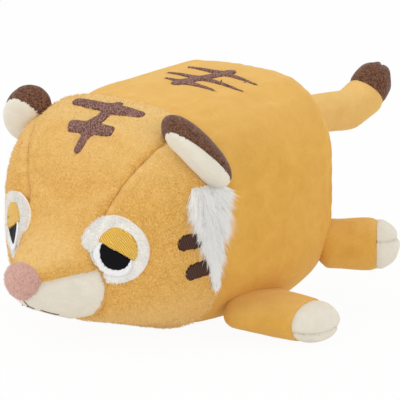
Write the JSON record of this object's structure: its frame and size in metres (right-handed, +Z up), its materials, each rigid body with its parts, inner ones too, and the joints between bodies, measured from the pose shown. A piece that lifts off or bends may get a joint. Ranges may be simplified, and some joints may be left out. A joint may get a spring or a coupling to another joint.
{
  "type": "plush tiger",
  "caption": "Lying plush tiger with a stuffed bean body, rounded ears, a pink nose, droopy stitched eyes, flat paws and a curled tail",
  "frame": {"origin": "a point on the flat of the belly, on the middle plane, about 47 mm behind the neck seam", "axes": "+Z is up, -Y is the way the tiger looks, and +X is the tiger's left side"},
  "size_m": [0.3062, 0.3992, 0.1736],
  "materials": {
    "trunk_cloth": "gold stretch plush with a very short smooth pile",
    "face_cloth": "gold plush with a short brushed pile",
    "cream_cloth": "cream plush with a very short smooth pile",
    "white_pile": "white fur cloth, long loose pile on the tufts and short pile round the eyes",
    "brown_pile": "dark brown plush with a curly short pile",
    "nose_cloth": "dusty pink velvet",
    "brown_thread": "looped brown embroidery thread",
    "dark_thread": "dark brown satin stitch",
    "gold_thread": "gold satin stitch",
    "black_thread": "black satin stitch",
    "white_thread": "white satin stitch",
    "grey_thread": "grey thread",
    "wadding": "loose white polyester wadding"
  },
  "bodies": {
    "body": {"trunk_cover": "trunk_cloth", "rump_cover": "trunk_cloth", "forehead_cover": "face_cloth", "muzzle_cover": "cream_cloth", "cheek_cover_left": "face_cloth", "cheek_cover_right": "face_cloth", "body_filling": "wadding", "nose": "nose_cloth", "mouth_stitch": "grey_thread", "forehead_mark": "brown_thread", "back_mark": "brown_thread", "eye_patch_left": "white_pile", "eye_patch_right": "white_pile", "eye_rim_left": "white_thread", "eye_rim_right": "white_thread", "eyelid_left": "gold_thread", "eyelid_right": "gold_thread", "pupil_left": "black_thread", "pupil_right": "black_thread", "cheek_stripe_upper_left": "dark_thread", "cheek_stripe_upper_right": "dark_thread", "cheek_stripe_lower_left": "dark_thread", "cheek_stripe_lower_right": "dark_thread", "fur_tuft_left": "white_pile", "fur_tuft_right": "white_pile"},
    "front_leg_left_body": {"front_leg_left": "trunk_cloth", "front_paw_left": "cream_cloth", "front_leg_filling_left": "wadding"},
    "front_leg_right_body": {"front_leg_right": "trunk_cloth", "front_paw_right": "cream_cloth", "front_leg_filling_right": "wadding"},
    "rear_leg_left_body": {"rear_leg_left": "trunk_cloth", "rear_paw_left": "cream_cloth", "rear_leg_filling_left": "wadding"},
    "rear_leg_right_body": {"rear_leg_right": "trunk_cloth", "rear_paw_right": "cream_cloth", "rear_leg_filling_right": "wadding"},
    "tail_body": {"tail_cover": "trunk_cloth", "tail_tip": "brown_pile", "tail_filling": "wadding"},
    "ear_left_body": {"ear_back_left": "brown_pile", "ear_front_left": "cream_cloth"},
    "ear_right_body": {"ear_back_right": "brown_pile", "ear_front_right": "cream_cloth"}
  },
  "joints": [
    {"name": "front_leg_left_lift", "type": "hinge", "parent": "body", "child": "front_leg_left_body", "pos_m": [0.08318, -0.01278, 0.02093], "axis": [0.1736, -0.9848, 0], "range_deg": [0, 25], "stiffness_Nm_per_rad": 0.3},
    {"name": "front_leg_right_lift", "type": "hinge", "parent": "body", "child": "front_leg_right_body", "pos_m": [-0.08318, -0.01278, 0.02093], "axis": [0.1736, 0.9848, 0], "range_deg": [0, 25], "stiffness_Nm_per_rad": 0.3},
    {"name": "rear_leg_left_swing", "type": "hinge", "parent": "body", "child": "rear_leg_left_body", "pos_m": [0.07687, 0.07577, 0.04849], "axis": [0, 0, 1], "range_deg": [-20, 20], "stiffness_Nm_per_rad": 0.2},
    {"name": "rear_leg_right_swing", "type": "hinge", "parent": "body", "child": "rear_leg_right_body", "pos_m": [-0.07687, 0.07577, 0.04849], "axis": [0, 0, -1], "range_deg": [-20, 20], "stiffness_Nm_per_rad": 0.2},
    {"name": "tail_lift", "type": "hinge", "parent": "body", "child": "tail_body", "pos_m": [0, 0.09722, 0.12545], "axis": [1, 0, 0], "range_deg": [-20, 20], "stiffness_Nm_per_rad": 0.4},
    {"name": "ear_left_fold", "type": "hinge", "parent": "body", "child": "ear_left_body", "pos_m": [0.07568, -0.06937, 0.13663], "axis": [0.6269, 0.351, -0.6955], "range_deg": [-20, 20], "stiffness_Nm_per_rad": 0.05},
    {"name": "ear_right_fold", "type": "hinge", "parent": "body", "child": "ear_right_body", "pos_m": [-0.07568, -0.06937, 0.13663], "axis": [0.6269, -0.351, 0.6955], "range_deg": [-20, 20], "stiffness_Nm_per_rad": 0.05}
  ]
}
